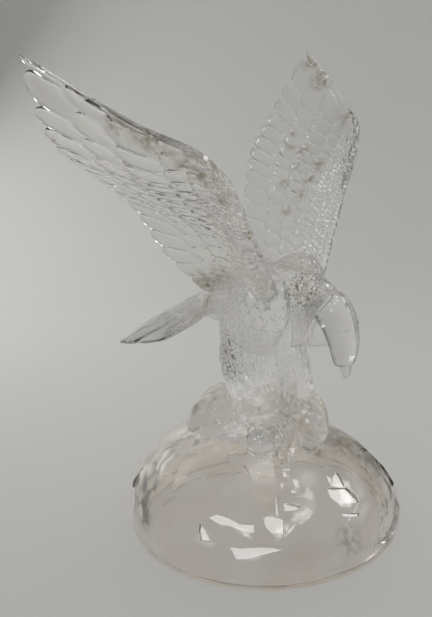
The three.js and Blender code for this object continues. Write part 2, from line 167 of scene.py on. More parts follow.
def fuse(pieces, operation="UNION"):
    whole, *others = pieces
    for other in others:
        finish_with(whole, "BOOLEAN", operation=operation, object=other, solver="MANIFOLD")
        bpy.data.objects.remove(other)
    return whole


# Curves
def smooth_curve(points):
    """A centripetal curve through points, which gives its places at shares from 0 to 1."""
    points = np.asarray(points, dtype=float)
    ends = np.vstack([2 * points[0] - points[1], points, 2 * points[-1] - points[-2]])
    gaps = np.sqrt(np.linalg.norm(np.diff(ends, axis=0), axis=1))

    def at(share):
        place = np.clip(share, 0, 1) * (len(points) - 1)
        index = np.minimum(place.astype(int), len(points) - 2)
        rest = (place - index)[..., None]
        before, here, there, after = (ends[index + k] for k in range(4))
        gap_before, gap, gap_after = (gaps[index + k][..., None] for k in range(3))
        leaving = (here - before) / gap_before - (there - before) / (gap_before + gap) + (there - here) / gap
        arriving = (there - here) / gap - (after - here) / (gap + gap_after) + (after - there) / gap_after
        leaving, arriving = leaving * gap, arriving * gap
        bend = 3 * (there - here) - 2 * leaving - arriving
        twist = 2 * (here - there) + leaving + arriving
        return here + rest * (leaving + rest * (bend + rest * twist))
    return at


def smoothstep(value, low, high):
    share = np.clip((value - low) / (high - low), 0, 1)
    return share * share * (3 - 2 * share)


def mix(low, high, share):
    return low + (high - low) * share


# Feathers: a row of rounded tips across a width, and how proud the glass stands on each feather
def spread(number):
    """An irregular value from 0 to 1 for each whole number."""
    return np.modf(np.abs(np.sin(number * 12.9898 + 4.1) * 43758.5453))[0]


def tip_line(row, across, side):
    share = np.modf(across * row["split"] + row["shift"] + 8)[0]
    from_middle = np.abs(share - 0.5) * 2
    ends = mix(row["end"][0], row["end"][1], side)
    return ends - row["notch"] * (1 - np.sqrt(1 - from_middle ** 2))


def feather_rise(row, across, along):
    """How proud the glass is at a share along a feather, from its hidden root to its rounded tip."""
    number = across * row["split"] + row["shift"] + 8
    share = np.modf(number)[0]
    groove = np.clip(np.minimum(share, 1 - share) / row["groove"], 0, 1)
    side = np.sqrt(1 - (1 - groove) ** 2)
    crown = 1 - row["crown"] * (2 * share - 1) ** 2
    tip = np.sqrt(1 - np.clip((along - 0.86) / 0.16, 0, 1) ** 2)
    uneven = 1 - row["uneven"] * spread(np.floor(number) + 31 * row["number"])
    return (0.3 + 0.7 * along) * mix(row["floor"], 1, side * tip) * crown * uneven * row["height"]


def row_stops(rows, stops, across, side):
    """Places along one column of a feathered face for each stop number, and how proud it is there."""
    numbers = [(index, stop / (row["stops"] - 1))
               for index, row in enumerate(rows) for stop in range(row["stops"])]
    along = np.zeros_like(across)
    proud = np.zeros_like(across)
    for stop, (index, share) in enumerate(numbers):
        here = stops == stop
        row = rows[index]
        columns, sides = across[here], side[here]
        begin = np.zeros_like(columns)
        if index:
            begin = tip_line(rows[index - 1], columns, sides) + row["behind"]
        eased = 1 - (1 - share) ** 1.35
        along[here] = mix(begin, tip_line(row, columns, sides), eased)
        proud[here] = feather_rise(row, columns, eased) * (0 if share == 0 else 1)
    return along, proud


def feather_row(number, end, notch, shift, stops, height=1.0, split=1, groove=0.12, crown=0.2, floor=0.3,
                uneven=0.2, behind=0.006):
    ends = end if isinstance(end, tuple) else (end, end)
    return dict(number=number, end=ends, notch=notch, shift=shift, stops=stops, height=height, split=split,
                groove=groove, crown=crown, floor=floor, uneven=uneven, behind=behind)


def clustered(share, pull=0.6):
    """Draw evenly spaced columns in towards the grooves at whole numbers."""
    return share - pull / (2 * math.pi) * np.sin(2 * math.pi * share)


# Blades: a grid laid on a sheet, then given a wall of changing thickness
COLUMNS_PER_FEATHER = 12
EDGE_ROUNDS = 0.97


def make_blade(name, sheet, rows, feathers, thickness_at, camber_at, root_reach=None, handed=1, narrowing=1):
    stops = sum(row["stops"] for row in rows)
    lead = 1 if root_reach else 0
    columns = feathers * COLUMNS_PER_FEATHER + lead
    blade = start(bpy.ops.mesh.primitive_grid_add, x_subdivisions=columns, y_subdivisions=stops - 1, size=2)
    blade.name = name
    places = vertex_places(blade)
    column = np.round((places[:, 0] + 1) / 2 * columns) - lead
    stop = np.round((places[:, 1] + 1) / 2 * (stops - 1))
    across = clustered(np.maximum(column, 0) / COLUMNS_PER_FEATHER)
    side = 1 - np.maximum(1 - across / feathers, 0) ** narrowing
    along, proud = row_stops(rows, stop, across, side)
    step = 1e-3
    here = sheet(side, along)
    sideways = sheet(np.minimum(1, side + step), along) - sheet(np.maximum(0, side - step), along)
    lengthways = sheet(side, np.minimum(1, along + step)) - sheet(side, np.maximum(0, along - step))
    normal = np.cross(sideways, lengthways)
    normal /= np.linalg.norm(normal, axis=1)[:, None]
    here = here + normal * camber_at(side, along)[:, None]
    fading = np.clip(np.minimum(along * 25, (1 - side) * 30), 0, 1)
    edge = np.sqrt(1 - np.clip((along / along.max() - EDGE_ROUNDS) / (1.01 - EDGE_ROUNDS), 0, 1) ** 2)
    half = (thickness_at(side, along) / 2 + proud * FEATHER_RELIEF * fading) * edge
    if root_reach:
        here[column < 0] += root_reach
    put_vertices(blade, eagle_points(here * [handed, 1, 1]))
    thickest = half.max()
    group = blade.vertex_groups.new(name="thickness")
    for index, share in enumerate(half / thickest):
        group.add([index], float(share), "REPLACE")
    finish_with(blade, "SOLIDIFY", thickness=2 * thickest * MM, offset=0, vertex_group="thickness")
    weld(blade)
    return blade


# Wings
LEADING_EDGE = [
    [27.3, -25, 88.3], [44.1, -24.9, 116.3], [58.4, -24.8, 142.4],
    [77.1, -21.1, 158.8], [96.1, -2.3, 171.8], [119.7, 34.5, 200.6],
]
TRAILING_EDGE = [
    [17.8, 23.3, 82.4], [37.6, 33.1, 106.9], [51.5, 39.7, 130.5],
    [69.8, 46.2, 147.6], [95.3, 47, 166], [117.9, 38.8, 197.1],
]
WRIST = 0.42
FEATHERS_NARROW = 1.2
WING_CAMBER = 5
WING_NOSE = 0.12
RIGHT_WING_LIFT = 5.7
WING_ROOT_REACH = (-15, 0, -9)
WING_THICKNESS = (12, 3.6)
WING_EDGE_THICKNESS = 1.1
TIP_CLOSES = 0.9
HAND_THINS = 0.94
HAND_THINNING = 0.6
COVERT_ENDS = [(0.06, 0.07), (0.12, 0.15), (0.18, 0.23), (0.25, 0.32), (0.32, 0.42)]


def wing_rows():
    rows = [
        feather_row(index, end, 0.022, 0.5 * (index % 2), 5, split=2, height=1.3, groove=0.35, crown=0.5,
                    uneven=0.6)
        for index, end in enumerate(COVERT_ENDS)
    ]
    rows.append(feather_row(5, (0.41, 0.56), 0.04, 0.5, 8, height=1.1, groove=0.2, floor=0.1))
    rows.append(feather_row(6, (0.53, 0.77), 0.05, 0, 8, height=1.0, groove=0.2, floor=0.1))
    rows.append(feather_row(7, (0.71, 0.88), 0.05, 0.5, 8, height=0.9, groove=0.2, floor=0.1))
    rows.append(feather_row(8, 1, 0.06, 0, 12, height=0.8, groove=0.18, floor=0))
    return rows


def raised(edge, lift):
    points = np.array(edge, dtype=float)
    root_height, tip_height = LEADING_EDGE[0][2], LEADING_EDGE[-1][2]
    out = np.clip((points[:, 2] - root_height) / (tip_height - root_height), 0, 1)
    points[:, 2] += lift * out * (1 + out) / 2
    return points


def wing_sheet(lift):
    """A sheet between the leading edge to the wrist, the hand, the trailing edge and the root."""
    leading = smooth_curve(raised(LEADING_EDGE, lift))
    trailing = smooth_curve(raised(TRAILING_EDGE, lift))
    root_front, root_back = leading(np.array(0.0)), trailing(np.array(0.0))
    wrist, tip = leading(np.array(WRIST)), leading(np.array(1.0))

    def at(span, chord):
        back = trailing(span)
        back = back + (tip - back) * smoothstep(span, TIP_CLOSES, 1)[:, None]
        front = leading(span * WRIST)
        outer = leading(WRIST + (1 - WRIST) * chord)
        chord, span = chord[:, None], span[:, None]
        inner = mix(root_front, root_back, chord)
        corners = mix(mix(root_front, wrist, span), mix(root_back, tip, span), chord)
        return mix(front, back, chord) + mix(inner, outer, span) - corners
    return at


def make_wing(handed, lift):
    def thickness_at(side, along):
        out = side * (WRIST + (1 - WRIST) * along)
        full = mix(*WING_THICKNESS, out ** 0.7)
        nose = np.minimum(1, along / WING_NOSE)
        outer = 1 - HAND_THINNING * smoothstep(side, HAND_THINS, 1)
        return np.sqrt(1 - (1 - nose) ** 2) * outer * mix(full, WING_EDGE_THICKNESS, along)

    def camber_at(side, along):
        return WING_CAMBER * np.sin(math.pi * along) * (1 - 0.5 * side)

    name = "left_wing" if handed > 0 else "right_wing"
    return make_blade(name, wing_sheet(lift), wing_rows(), FLIGHT_FEATHERS, thickness_at, camber_at,
                      WING_ROOT_REACH, handed, FEATHERS_NARROW)


# Tail
TAIL_ROOT = dict(y=24, z=79, half_width=10)
TAIL_END = dict(y=98.5, z=37, half_width=30)
TAIL_ROUNDING = 0.7
TAIL_BOW = 3
TAIL_DROOP = 21
TAIL_THICKNESS = (7, 0.9)


def tail_sheet(side, along):
    out = 2 * side - 1
    reach = along * (1 - TAIL_ROUNDING * out ** 2)
    x = out * mix(TAIL_ROOT["half_width"], TAIL_END["half_width"], np.maximum(reach, 0) ** 0.2)
    y = mix(TAIL_ROOT["y"], TAIL_END["y"], reach)
    z = mix(TAIL_ROOT["z"], TAIL_END["z"], reach) + TAIL_BOW * np.sin(math.pi * reach)
    return np.stack([x, y, z - TAIL_DROOP * (x / TAIL_END["half_width"]) ** 2], axis=-1)


def make_tail():
    def thickness_at(side, along):
        return mix(*TAIL_THICKNESS, along ** 0.7) * (1 - 0.3 * np.abs(2 * side - 1) ** 4)

    rows = [feather_row(0, 0.34, 0.05, 0.5, 10, height=0.6), feather_row(1, 1, 0.08, 0, 22, height=0.6)]
    return make_blade("tail", tail_sheet, rows, TAIL_FEATHERS, thickness_at, lambda side, along: 0 * side)


# Limbs, as stations [x, y, z, half width, half depth]
TRUNK = [
    [0, -4, 92, 9, 9], [0, -2, 84, 17, 16], [0, 0, 74, 20.5, 19.5], [0, 1, 62, 21.5, 21],
    [0, 1, 50, 20.5, 20], [0, -1, 38, 19, 17], [0, -6, 26, 16, 14], [0, -9, 16, 12, 11],
]
NECK = [
    [0, -43, 76, 7.6, 8.4], [0, -39, 79, 9.2, 9.6], [0, -31, 83, 11.5, 11.5],
    [0, -20, 85, 13, 12.5], [0, -8, 83, 16, 14.5], [0, 4, 80, 16, 14.5], [0, 12, 76, 12, 11],
]
RUMP = [
    [0, 2, 78, 15, 14], [0, 14, 74, 16, 13], [0, 26, 71, 13, 9.5], [0, 38, 68, 10, 5],
]
SHOULDER = [
    [14, -10, 96, 5, 8], [18.5, -12, 89, 11, 14.5], [19, -11, 79, 12.5, 16.5], [17.5, -7, 67, 12, 15],
    [15, -4, 55, 9, 11],
]
HEAD = [
    [0, -38.5, 80, 9, 9], [0, -42, 77.5, 10, 10.2], [0, -45.5, 73, 9.3, 9.8], [0, -48, 66, 8.4, 9],
    [0, -49.2, 60, 7.6, 8], [0, -49.4, 54, 6.5, 6.8], [0, -49.2, 50.5, 5.4, 5.6], [0, -49.2, 48.8, 4.6, 4.8],
]
BEAK = [
    [0, -49.6, 53, 3.4, 3.8], [0, -50.2, 49, 2.8, 3.4], [0, -50.6, 45.6, 2.1, 2.6],
    [0, -49.8, 43, 1.4, 1.7], [0, -48.2, 41.4, 0.5, 0.6],
]
LEG = [
    [15, 0, 62, 10, 13], [16.5, -1, 50, 12, 15], [17, -4, 38, 12, 14.5], [17.3, -8, 26, 11, 13],
    [17.5, -12, 15, 9, 11], [17.5, -14, 6, 7.5, 9], [17.5, -15, -4, 6, 7],
]
TOE = [
    [-1, -10, 12, 3.2, 3.4], [-2, -19, 14, 3.9, 4.2], [-3, -23.5, 9, 3.9, 4.2], [-3, -25.5, 3, 3.4, 3.6],
    [-3, -26, -2.5, 2.1, 2.4], [-3, -25, -6.5, 0.7, 0.8],
]
TOE_SPREAD = 8
WEB = [[-14, 80], [-44, 74], [-45, 58.5], [-14, 52]]
WEB_THICKNESS = 3.2


def limb_surface(stations, share, turn, swell):
    """Places round a limb at shares along it and turns round it, raised by a swell."""
    path = smooth_curve([station[:3] for station in stations])
    girth = smooth_curve([[*station[3:], index] for index, station in enumerate(stations)])
    step = 1e-4
    along = path(share + step) - path(share - step)
    along /= np.linalg.norm(along, axis=1)[:, None]
    across = np.array([1.0, 0, 0]) - along * along[:, :1]
    across /= np.linalg.norm(across, axis=1)[:, None]
    deep = np.cross(along, across)
    size = girth(share)
    ends = np.sin(math.pi * share) > 1e-9
    wide = np.cos(turn) * (size[:, 0] + swell) * ends
    tall = np.sin(turn) * (size[:, 1] + swell) * ends
    return path(share) + across * wide[:, None] + deep * tall[:, None]


def make_limb(name, stations, sides, rings, round_end):
    """A smooth limb with a rounded end: a ball of rings drawn out along its stations."""
    limb = start(bpy.ops.mesh.primitive_uv_sphere_add, segments=sides, ring_count=rings, radius=1)
    limb.name = name
    ball = vertex_places(limb)
    share = np.arccos(np.clip(ball[:, 2], -1, 1)) / math.pi
    turn = np.arctan2(ball[:, 1], ball[:, 0])
    near = smoothstep(share, 1 - round_end, 1)
    places = mix(share, 1 - (1 - share) ** 2 / round_end, near)
    girth = smooth_curve([[*station[3:], index] for index, station in enumerate(stations)])
    rest = np.clip((1 - places) / round_end, 0, 1)
    swell = -girth(places)[:, 1] * (1 - np.sqrt(1 - (1 - rest) ** 2)) * 0.9
    put_vertices(limb, eagle_points(limb_surface(stations, places, turn, swell)))
    weld(limb)
    return limb


def make_plumed(name, stations, tufts, row_count, height, columns=8, stops=6):
    """A limb in rows of staggered tufts of feather."""
    rows = [
        feather_row(index, (index + 1) / (row_count + 0.2), 0.45 / row_count, 0.5 * (index % 2), stops,
                    height=height, groove=0.34, crown=0.35, uneven=0.55, floor=0.1, behind=0.05 / row_count)
        for index in range(row_count)
    ]
    rings = row_count * stops + 1
    limb = start(bpy.ops.mesh.primitive_uv_sphere_add, segments=tufts * columns, ring_count=rings, radius=1)
    limb.name = name
    ball = vertex_places(limb)
    ring = np.round(np.arccos(np.clip(ball[:, 2], -1, 1)) / math.pi * rings)
    turn = np.arctan2(ball[:, 1], ball[:, 0])
    across = (turn / (2 * math.pi) % 1) * tufts
    share, swell = row_stops(rows, ring - 1, across, across)
    share = np.where(ring == 0, 0, np.where(ring == rings, 1, np.clip(share, 1e-3, 1 - 1e-3)))
    put_vertices(limb, eagle_points(limb_surface(stations, share, turn, swell)))
    weld(limb)
    return limb


def on_side(side, stations):
    return [[side * x, y, z, width, depth] for x, y, z, width, depth in stations]


def make_lump(name, x, y, z, rx, ry, rz, sides=32):
    lump = start(bpy.ops.mesh.primitive_uv_sphere_add, segments=sides, ring_count=sides // 2, radius=1)
    lump.name = name
    put_vertices(lump, eagle_points(vertex_places(lump) * [rx, ry, rz] + [x, y, z]))
    return lump


def make_toes(side):
    ankle = LEG[-1][0]
    toes = []
    for spread_to in (-TOE_SPREAD, 0, TOE_SPREAD):
        stations = []
        for x, y, z, width, depth in TOE:
            fanned = spread_to * min(max((-y - 4) / 20, 0.4), 1)
            stations.append([side * (ankle + x) + fanned, y, z, width, depth])

        toes.append(make_limb("toe", stations, 20, 40, round_end=0.06))
    return toes


def make_web():
    """The flat web of glass that joins the bent head to the breast."""
    web = start(bpy.ops.mesh.primitive_plane_add, size=2)
    web.name = "web"
    corners = [WEB[0], WEB[1], WEB[3], WEB[2]]
    put_vertices(web, eagle_points([[0, y, z] for y, z in corners]))
    in_edit_mode(web, lambda: bpy.ops.mesh.subdivide(number_cuts=6))
    finish_with(web, "SOLIDIFY", thickness=WEB_THICKNESS * MM, offset=0)
    finish_with(web, "BEVEL", width=0.0008, segments=3, limit_method="ANGLE")
    return web


def make_head():
    skull = make_limb("skull", HEAD, 48, 60, round_end=0.05)
    beak = make_limb("beak", BEAK, 24, 30, round_end=0.1)
    eyes = [make_lump("eye", side * 7, -51, 67, 1.7, 2, 1.8, 16) for side in (-1, 1)]
    brows = [make_lump("brow", side * 5.6, -50.5, 70.5, 3, 4.2, 1.8, 16) for side in (-1, 1)]
    return [skull, beak, *eyes, *brows]


def make_eagle():
    parts = [
        make_plumed("trunk", TRUNK, 26, 20, 0.55, 5, 5),
        make_plumed("neck", NECK, 20, 22, 0.5, 5, 5),
        make_plumed("rump", RUMP, 20, 8, 0.5, 5, 5),
    ]
    for side in (1, -1):
        parts.append(make_plumed("shoulder", on_side(side, SHOULDER), 16, 10, 0.5, 5, 5))
        parts.append(make_plumed("leg", on_side(side, LEG), 16, 16, 0.5, 5, 5))
        parts += make_toes(side)
    parts += make_head()
    parts.append(make_web())
    parts.append(make_tail())
    parts.append(make_wing(1, 0))
    parts.append(make_wing(-1, RIGHT_WING_LIFT))
    return parts


# Rock: a block cut by planes that touch an ellipsoid, so that flat irregular facets are left
def random_source(seed):
    state = seed
    whole = 0xFFFFFFFF

    def draw():
        nonlocal state
        state = (state + 0x6D2B79F5) & whole
        mixed = ((state ^ (state >> 15)) * (1 | state)) & whole
        mixed = ((mixed + (((mixed ^ (mixed >> 7)) * (61 | mixed)) & whole)) & whole) ^ mixed
        return (mixed ^ (mixed >> 14)) / 4294967296
    return draw


def on_unit_dome(stretch, x, y):
    """The touching place on the unit ball for a place seen from above on the stretched one."""
    height = 0.5
    for _ in range(30):
        flat_x = (x - stretch[0][2] * height) / stretch[0][0]
        flat_y = (y - stretch[1][2] * height) / stretch[1][1]
        height = math.sqrt(max(1 - flat_x ** 2 - flat_y ** 2, 0))
    return Vector((flat_x, flat_y, height))


def facet_planes(centre, radii, lean, count, lowest, seed, keeps=None):
    """Planes as a point on each and its outward normal."""
    draw = random_source(seed)
    golden_turn = math.pi * (3 - math.sqrt(5))
    stretch = Matrix(((radii[0], 0, lean[0]), (0, radii[1], lean[1]), (0, 0, radii[2])))
    to_normal = stretch.inverted().transposed()
    planes = []
    for index in range(count):
        height = min(mix(lowest, 1, (index + draw()) / count), 0.999)
        turn = index * golden_turn + (draw() - 0.5) * 0.25
        inset = draw() * FACET_JITTER * max(height, 0)
        around = math.sqrt(1 - height * height)
        touch = Vector((math.cos(turn) * around, math.sin(turn) * around, height))
        if keeps is None or keeps(touch):
            normal = (to_normal @ touch).normalized()
            planes.append((centre + stretch @ touch - normal * inset, normal))
    return planes


def cut_by(block, planes):
    def work():
        for place, normal in planes:
            bpy.ops.mesh.select_all(action="SELECT")
            bpy.ops.mesh.bisect(plane_co=place, plane_no=normal, use_fill=True, clear_outer=True)
    in_edit_mode(block, work)
    weld(block, 0.00005)
    finish_with(block, "BEVEL", width=FACET_SOFTENING, segments=2, limit_method="ANGLE", angle_limit=0.02)
    return block


def make_dome_quarter(quarter):
    span = 2 * math.pi / MOULD_QUARTERS
    begin = SEAM_TURN + quarter * span
    end = begin + span
    block = start(bpy.ops.mesh.primitive_cylinder_add, vertices=180, radius=BASE_RADIUS, depth=DOME_HEIGHT,
                  location=BASE_CENTRE + Vector((0, 0, DOME_HEIGHT / 2)))
    block.name = "dome_quarter"
    settle(block)
    centre = BASE_CENTRE + Vector((0, 0, FOOT_RIM))
    outward_begin = Vector((math.sin(begin), -math.cos(begin), 0))
    outward_end = Vector((-math.sin(end), math.cos(end), 0))
    planes = [(BASE_CENTRE + outward_begin * SEAM_LAP, outward_begin),
              (BASE_CENTRE + outward_end * SEAM_LAP, outward_end)]
    planes += facet_planes(
        centre, (BASE_RADIUS, BASE_RADIUS, DOME_HEIGHT - FOOT_RIM), DOME_LEAN, DOME_FACETS, LOWEST_FACET,
        DOME_SEEDS[quarter], lambda touch: (math.atan2(touch.y, touch.x) - begin) % (2 * math.pi) < span)
    return cut_by(block, planes)


def make_gleam(corners):
    """A shallow cutter whose flat floor lies along the dome."""
    centre = BASE_CENTRE + Vector((0, 0, FOOT_RIM))
    radii = (BASE_RADIUS, BASE_RADIUS, DOME_HEIGHT - FOOT_RIM)
    stretch = Matrix(((radii[0], 0, DOME_LEAN[0]), (0, radii[1], DOME_LEAN[1]), (0, 0, radii[2])))
    middle_x, middle_y = (sum(corner[axis] for corner in corners) / len(corners) * MM for axis in (0, 1))
    middle = on_unit_dome(stretch, middle_x, middle_y)
    normal = (stretch.inverted().transposed() @ middle).normalized()
    floor = centre + stretch @ middle - normal * GLEAM_DEPTH
    rims = []
    for x, y in corners:
        place = centre + stretch @ on_unit_dome(stretch, x * MM, y * MM)
        rims.append(place - normal * (place - floor).dot(normal))
    inner = sum(rims, Vector()) / len(rims)
    cutter = start(bpy.ops.mesh.primitive_cylinder_add, vertices=len(corners), radius=1, depth=2)
    cutter.name = "gleam"
    places = []
    for x, y, z in vertex_places(cutter):
        rim = rims[round(math.atan2(x, y) / (2 * math.pi) * len(rims)) % len(rims)]
        places.append(rim if z < 0 else inner + (rim - inner) * GLEAM_DRAFT + normal * GLEAM_REACH)
    put_vertices(cutter, places)
    weld(cutter)
    return cutter


def make_crag():
    centre = BASE_CENTRE + Vector((*CRAG_OFFSET, CRAG_RADII[2]))
    block = start(bpy.ops.mesh.primitive_cube_add, size=2, location=centre, scale=CRAG_RADII)
    block.name = "crag"
    settle(block)
    return cut_by(block, facet_planes(centre, CRAG_RADII, (0, 0), CRAG_FACETS, 0, CRAG_SEED))


def make_hollow():
    """The space under the rock: the upper half of a flattened ball, run on below the foot ring."""
    radius = BASE_RADIUS - WALL
    height = DOME_HEIGHT - CROWN
    hollow = start(bpy.ops.mesh.primitive_uv_sphere_add, segments=128, ring_count=64, radius=1)
    hollow.name = "hollow"
    places = vertex_places(hollow)
    above = places[:, 2] > -1e-6
    places[:, 2] = np.where(above, places[:, 2] * height, np.minimum(places[:, 2], 0) * FOOT_RIM - 1e-4)
    sideways = np.linalg.norm(places[:, :2], axis=1)
    widened = np.where(above, 1, np.where(sideways > 0.05, 1 / np.maximum(sideways, 0.05), 1))
    places[:, :2] *= radius * widened[:, None]
    put_vertices(hollow, places + list(BASE_CENTRE))
    weld(hollow)
    return hollow


def make_rock():
    quarters = [make_dome_quarter(quarter) for quarter in range(MOULD_QUARTERS)]
    dome = fuse([fuse(quarters), *(make_gleam(corners) for corners in GLEAMS)], "DIFFERENCE")
    knobs = [
        make_lump("knob", 1.5, -22.5, 7, 10, 16, 16, 72),
        make_lump("knob", -24, -13, 6, 8, 8.5, 9.5, 48),
    ]
    return [dome, make_crag(), *knobs]


casting = fuse([*make_rock(), *make_eagle()])
casting = fuse([casting, make_hollow()], "DIFFERENCE")
casting.name = "crystal_casting"
bpy.ops.object.select_all(action="DESELECT")
casting.select_set(True)
bpy.context.view_layer.objects.active = casting
bpy.ops.object.shade_smooth_by_angle(angle=math.radians(32))


# Materials
CLEAR = (0.965, 0.957, 0.94)
FILMED = (0.92, 0.855, 0.785)
# Brown tint of the stains, also used for the painted shade at the left wing's feather tips
GRIME_AND_SHADE = (0.30, 0.245, 0.16)
SOOT = (0.06, 0.06, 0.05)
INNER_DUST = 0.25
VEIL_DULLNESS = 1.2
FILM_FADES = (0.062, 0.045)
ROUGHNESS_RANGE = (0.02, 0.3)
CRYSTAL_INDEX = 1.47
PLUMAGE_RELIEF = 0.0004
# Brown stains, and painted shade in the grooves at the left wing's feather tips: centre, radius, strength
STAINS_AND_GROOVE_SHADE = [
    ((-0.0978, -0.0052, 0.2273), 0.009, 0.8), ((-0.0915, -0.0158, 0.2225), 0.013, 1.0),
    ((-0.0850, -0.0200, 0.2150), 0.008, 0.8), ((-0.0773, -0.0270, 0.2093), 0.012, 1.0),
    ((-0.0727, -0.0312, 0.2046), 0.011, 1.0), ((-0.0620, -0.0350, 0.1920), 0.009, 0.8),
    ((-0.0239, 0.0064, 0.1401), 0.013, 1.0), ((-0.0279, -0.0071, 0.1455), 0.012, 0.8),
    ((-0.0032, -0.0323, 0.1471), 0.013, 0.6), ((-0.0009, -0.0425, 0.1457), 0.012, 0.6),
    ((-0.0288, -0.0192, 0.0599), 0.008, 1.0), ((-0.0008, -0.0451, 0.0464), 0.009, 1.0),
    ((0.0289, -0.0486, 0.0401), 0.022, 1.0), ((0.0350, -0.0589, 0.0305), 0.020, 1.0),
    ((0.0440, -0.0400, 0.0330), 0.020, 0.9), ((0.0450, -0.0560, 0.0250), 0.018, 0.9),
    ((0.0274, -0.0709, 0.0248), 0.014, 0.8), ((-0.0077, 0.0145, 0.0684), 0.013, 0.8),
    ((-0.0052, 0.0271, 0.0615), 0.012, 0.6), ((0.0000, 0.0080, 0.0760), 0.012, 0.8),
    ((0.1141, 0.0172, 0.2450), 0.010, 1.0), ((0.1048, 0.0055, 0.2347), 0.011, 1.0),
    ((0.0256, -0.0808, 0.0130), 0.012, 0.6), ((-0.0120, -0.0340, 0.0700), 0.008, 0.7),
    # Painted shade: darker patches in the grooves at the feather tips of the left wing
    ((0.0803, 0.0121, 0.2039), 0.004, 0.9), ((0.0717, 0.0086, 0.1974), 0.004, 0.9),
    ((0.0504, -0.0140, 0.1832), 0.006, 1.0), ((0.0584, -0.0013, 0.1887), 0.005, 1.0),
    ((0.0485, 0.0004, 0.1798), 0.005, 1.0), ((0.0654, 0.0325, 0.1950), 0.004, 0.8),
    ((0.0370, -0.0073, 0.1676), 0.005, 0.9), ((0.0699, -0.0003, 0.1963), 0.006, 0.9),
    ((0.0576, -0.0165, 0.1901), 0.007, 1.0), ((0.0427, -0.0131, 0.1754), 0.006, 0.9),
    ((0.0799, -0.0220, 0.2139), 0.009, 0.7), ((0.0682, -0.0320, 0.2059), 0.008, 0.6),
    # Brown stains
    ((-0.0186, 0.0175, 0.1227), 0.012, 0.7), ((-0.0151, 0.0133, 0.1257), 0.010, 0.7),
    ((-0.0621, 0.0287, 0.0217), 0.012, 0.6), ((-0.0273, -0.0788, 0.0169), 0.012, 0.7),
    ((-0.0266, -0.0064, 0.1057), 0.006, 1.0), ((-0.0103, -0.0430, 0.1388), 0.008, 1.0),
]
# Single dark specks: centre, radius
SPECKS = [
    ((-0.1037, 0.0316, 0.2292), 0.0013), ((-0.0968, 0.0314, 0.2200), 0.0013),
    ((-0.0858, 0.0288, 0.2096), 0.0013), ((-0.0650, -0.0311, 0.0261), 0.0010),
    ((-0.0483, -0.0368, 0.1751), 0.0012), ((-0.0473, -0.0362, 0.1725), 0.0012),
]
PLUMAGE_CENTRE = (0, -0.004, 0.108)
PLUMAGE_RADII = (0.040, 0.045, 0.060)
# Grains of dark dirt lodged in the plumage: centre, radius
GRAINS = [
    ((-0.0266, -0.0064, 0.1057), 0.016), ((-0.0250, -0.0100, 0.0950), 0.013),
    ((-0.0103, -0.0430, 0.1388), 0.016), ((0.0000, -0.0400, 0.1300), 0.013),
    ((-0.0120, -0.0340, 0.0720), 0.013), ((0.0020, -0.0380, 0.0760), 0.011),
]
# Dull film: centre, radius
VEILS = [
    ((0.0020, -0.0320, 0.0590), 0.017), ((0.0289, -0.0486, 0.0401), 0.017),
    ((0.0350, -0.0650, 0.0270), 0.015), ((-0.0052, 0.0200, 0.0640), 0.016),
]


def node(tree, kind, **settings):
    made = tree.nodes.new("ShaderNode" + kind)
    for name, value in settings.items():
        setattr(made, name, value)
    return made


def arithmetic(tree, operation, first, second):
    """The output of a math node on two sockets or numbers."""
    result = node(tree, "Math", operation=operation, use_clamp=True)
    for socket, value in zip(result.inputs, (first, second)):
        if isinstance(value, (int, float)):
            socket.default_value = value
        else:
            tree.links.new(value, socket)
    return result.outputs[0]


def tinted(tree, share, under, over):
    """One colour laid over another by a mask."""
    blend = node(tree, "Mix", data_type="RGBA")
    tree.links.new(share, blend.inputs[0])
    for socket, value in ((blend.inputs[6], under), (blend.inputs[7], over)):
        if isinstance(value, tuple):
            socket.default_value = (*value, 1)
        else:
            tree.links.new(value, socket)
    return blend.outputs[2]


def blob(tree, place, centre, radii, inner=0.3, outer=1.0):
    """A soft mask round a place, 1 inside it and 0 outside."""
    away = node(tree, "VectorMath", operation="SUBTRACT")
    away.inputs[1].default_value = centre
    tree.links.new(place, away.inputs[0])
    scaled = node(tree, "VectorMath", operation="DIVIDE")
    scaled.inputs[1].default_value = radii
    tree.links.new(away.outputs[0], scaled.inputs[0])
    length = node(tree, "VectorMath", operation="LENGTH")
    tree.links.new(scaled.outputs[0], length.inputs[0])
    soft = node(tree, "MapRange", interpolation_type="SMOOTHSTEP")
    soft.inputs["From Min"].default_value = outer
    soft.inputs["From Max"].default_value = inner
    tree.links.new(length.outputs["Value"], soft.inputs["Value"])
    return soft.outputs["Result"]


def blobs(tree, place, spots, inner, mask=0.0):
    """A mask raised to 1 at each of several spots."""
    for centre, radius in spots:
        mask = arithmetic(tree, "MAXIMUM", blob(tree, place, centre, (radius, radius, radius), inner), mask)
    return mask


def noise(tree, place, scale, low, high, detail=3, stretch=None):
    """A mottled mask from 0 to 1."""
    if stretch:
        mapping = node(tree, "Mapping")
        mapping.inputs["Scale"].default_value = stretch
        tree.links.new(place, mapping.inputs["Vector"])
        place = mapping.outputs["Vector"]
    texture = node(tree, "TexNoise")
    texture.inputs["Scale"].default_value = scale
    texture.inputs["Detail"].default_value = detail
    tree.links.new(place, texture.inputs["Vector"])
    ramp = node(tree, "MapRange")
    ramp.inputs["From Min"].default_value = low
    ramp.inputs["From Max"].default_value = high
    tree.links.new(texture.outputs["Fac"], ramp.inputs["Value"])
    return ramp.outputs["Result"]


